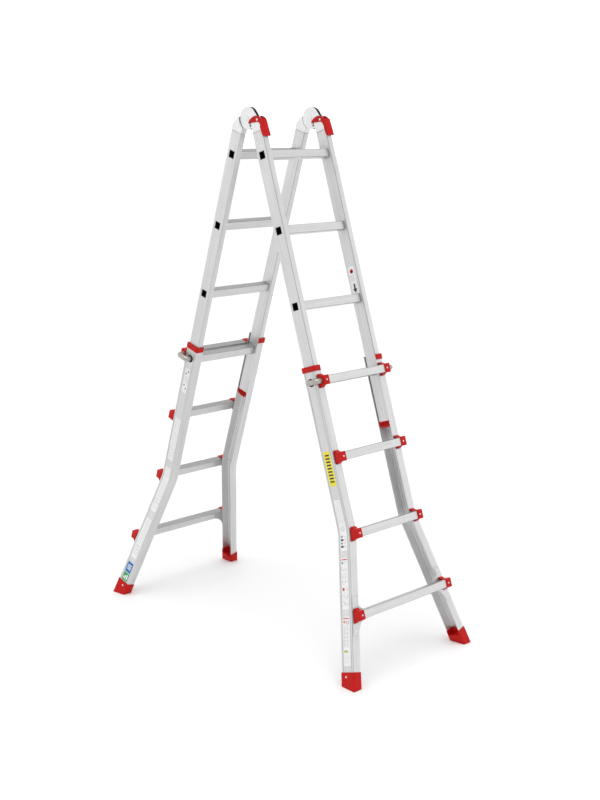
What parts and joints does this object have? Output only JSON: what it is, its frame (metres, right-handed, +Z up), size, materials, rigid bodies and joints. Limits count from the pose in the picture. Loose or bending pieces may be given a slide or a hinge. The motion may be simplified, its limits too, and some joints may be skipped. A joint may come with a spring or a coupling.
{
  "type": "multi position ladder",
  "caption": "Hinged telescopic aluminium ladder standing as an A-frame, with flared legs, sprung locks and moulded feet.",
  "frame": {"origin": "on the floor, midway between the four feet", "axes": "+Z up, X across the rungs, -Y towards the front climbing section"},
  "size_m": [0.651, 1.4056, 2.0007],
  "materials": {
    "extruded_rail": "satin mill-finish extrusion",
    "extruded_rung": "satin mill-finish extrusion with a grooved tread",
    "cast_aluminium": "fine shot-blasted die casting",
    "gusset_plate": "rolled plate",
    "red_plastic": "moulded, slight sheen",
    "red_foot": "moulded, matt",
    "black_plastic": "moulded, matt",
    "lock_bar": "zinc plated and brushed",
    "zinc_steel": "zinc plated",
    "spring_steel": "drawn wire",
    "rivet": "bright blind rivet"
  },
  "bodies": {
    "front_inner": {"front_hinge_leaf_left": "cast_aluminium", "front_hinge_leaf_right": "cast_aluminium", "front_inner_end_plugs": "red_plastic", "front_inner_rail_left": "extruded_rail", "front_inner_rail_right": "extruded_rail", "front_inner_rivets": "rivet", "front_inner_rung_1": "extruded_rung", "front_inner_rung_2": "extruded_rung", "front_inner_rung_3": "extruded_rung", "front_inner_rung_4": "extruded_rung", "front_inner_rung_sleeves": "black_plastic", "hinge_pins": "zinc_steel"},
    "rear_inner": {"rear_hinge_leaf_left": "cast_aluminium", "rear_hinge_leaf_right": "cast_aluminium", "rear_inner_end_plugs": "red_plastic", "rear_inner_rail_left": "extruded_rail", "rear_inner_rail_right": "extruded_rail", "rear_inner_rivets": "rivet", "rear_inner_rung_1": "extruded_rung", "rear_inner_rung_2": "extruded_rung", "rear_inner_rung_3": "extruded_rung", "rear_inner_rung_4": "extruded_rung", "rear_inner_rung_sleeves": "black_plastic"},
    "front_outer": {"front_foot_left": "red_foot", "front_foot_right": "red_foot", "front_outer_collars": "red_plastic", "front_outer_gussets": "gusset_plate", "front_outer_lock_bushes": "black_plastic", "front_outer_lock_springs": "spring_steel", "front_outer_rail_left": "extruded_rail", "front_outer_rail_right": "extruded_rail", "front_outer_rivets": "rivet", "front_outer_rung_1": "extruded_rung", "front_outer_rung_2": "extruded_rung", "front_outer_rung_3": "extruded_rung", "front_outer_rung_4": "extruded_rung", "front_outer_rung_brackets": "red_plastic"},
    "rear_outer": {"rear_foot_left": "red_foot", "rear_foot_right": "red_foot", "rear_outer_collars": "red_plastic", "rear_outer_gussets": "gusset_plate", "rear_outer_lock_bushes": "black_plastic", "rear_outer_lock_springs": "spring_steel", "rear_outer_rail_left": "extruded_rail", "rear_outer_rail_right": "extruded_rail", "rear_outer_rivets": "rivet", "rear_outer_rung_1": "extruded_rung", "rear_outer_rung_2": "extruded_rung", "rear_outer_rung_3": "extruded_rung", "rear_outer_rung_4": "extruded_rung", "rear_outer_rung_brackets": "red_plastic"},
    "front_hinge_lock_pin_left": {"front_hinge_lock_pin_left": "zinc_steel"},
    "front_hinge_lock_pin_right": {"front_hinge_lock_pin_right": "zinc_steel"},
    "front_j_lock_left": {"front_j_lock_left": "lock_bar"},
    "front_j_lock_right": {"front_j_lock_right": "lock_bar"},
    "front_release_lever_left": {"front_release_lever_left": "red_plastic"},
    "front_release_lever_right": {"front_release_lever_right": "red_plastic"},
    "rear_j_lock_left": {"rear_j_lock_left": "lock_bar"},
    "rear_j_lock_right": {"rear_j_lock_right": "lock_bar"}
  },
  "joints": [
    {"name": "section_hinge", "type": "hinge", "parent": "front_inner", "child": "rear_inner", "pos_m": [0, 0, 1.96], "axis": [1, 0, 0], "range_deg": [-35.48, 144.52]},
    {"name": "front_telescope", "type": "slide", "parent": "front_inner", "child": "front_outer", "axis": [0, 0.3047, 0.9524], "range_m": [0, 0.84]},
    {"name": "rear_telescope", "type": "slide", "parent": "rear_inner", "child": "rear_outer", "axis": [0, -0.3047, 0.9524], "range_m": [0, 0.84]},
    {"name": "front_j_lock_left_pull", "type": "slide", "parent": "front_outer", "child": "front_j_lock_left", "axis": [-1, 0, 0], "range_m": [-0.008, 0.022], "stiffness_N_per_m": 400, "deforming": ["front_outer_lock_springs"]},
    {"name": "front_j_lock_right_pull", "type": "slide", "parent": "front_outer", "child": "front_j_lock_right", "axis": [1, 0, 0], "range_m": [-0.008, 0.022], "stiffness_N_per_m": 400, "deforming": ["front_outer_lock_springs"]},
    {"name": "rear_j_lock_left_pull", "type": "slide", "parent": "rear_outer", "child": "rear_j_lock_left", "axis": [-1, 0, 0], "range_m": [-0.008, 0.022], "stiffness_N_per_m": 400, "deforming": ["rear_outer_lock_springs"]},
    {"name": "rear_j_lock_right_pull", "type": "slide", "parent": "rear_outer", "child": "rear_j_lock_right", "axis": [1, 0, 0], "range_m": [-0.008, 0.022], "stiffness_N_per_m": 400, "deforming": ["rear_outer_lock_springs"]},
    {"name": "lever_left_squeeze", "type": "hinge", "parent": "front_inner", "child": "front_release_lever_left", "pos_m": [0, -0.05402, 1.95523], "axis": [-1, 0, 0], "range_deg": [-4.4, 5.6], "stiffness_Nm_per_rad": 1.5},
    {"name": "hinge_lock_left_slide", "type": "slide", "parent": "front_inner", "child": "front_hinge_lock_pin_left", "axis": [0, -0.3047, -0.9524], "range_m": [-0.00345, 0.0045]},
    {"name": "lever_right_squeeze", "type": "hinge", "parent": "front_inner", "child": "front_release_lever_right", "pos_m": [0, -0.05402, 1.95523], "axis": [-1, 0, 0], "range_deg": [-4.4, 5.6], "stiffness_Nm_per_rad": 1.5},
    {"name": "hinge_lock_right_slide", "type": "slide", "parent": "front_inner", "child": "front_hinge_lock_pin_right", "axis": [0, -0.3047, -0.9524], "range_m": [-0.00345, 0.0045]}
  ],
  "couplings": [
    {"joint": "hinge_lock_left_slide", "follows": "lever_left_squeeze", "m_per_rad": 0.044},
    {"joint": "hinge_lock_right_slide", "follows": "lever_right_squeeze", "m_per_rad": 0.044}
  ]
}
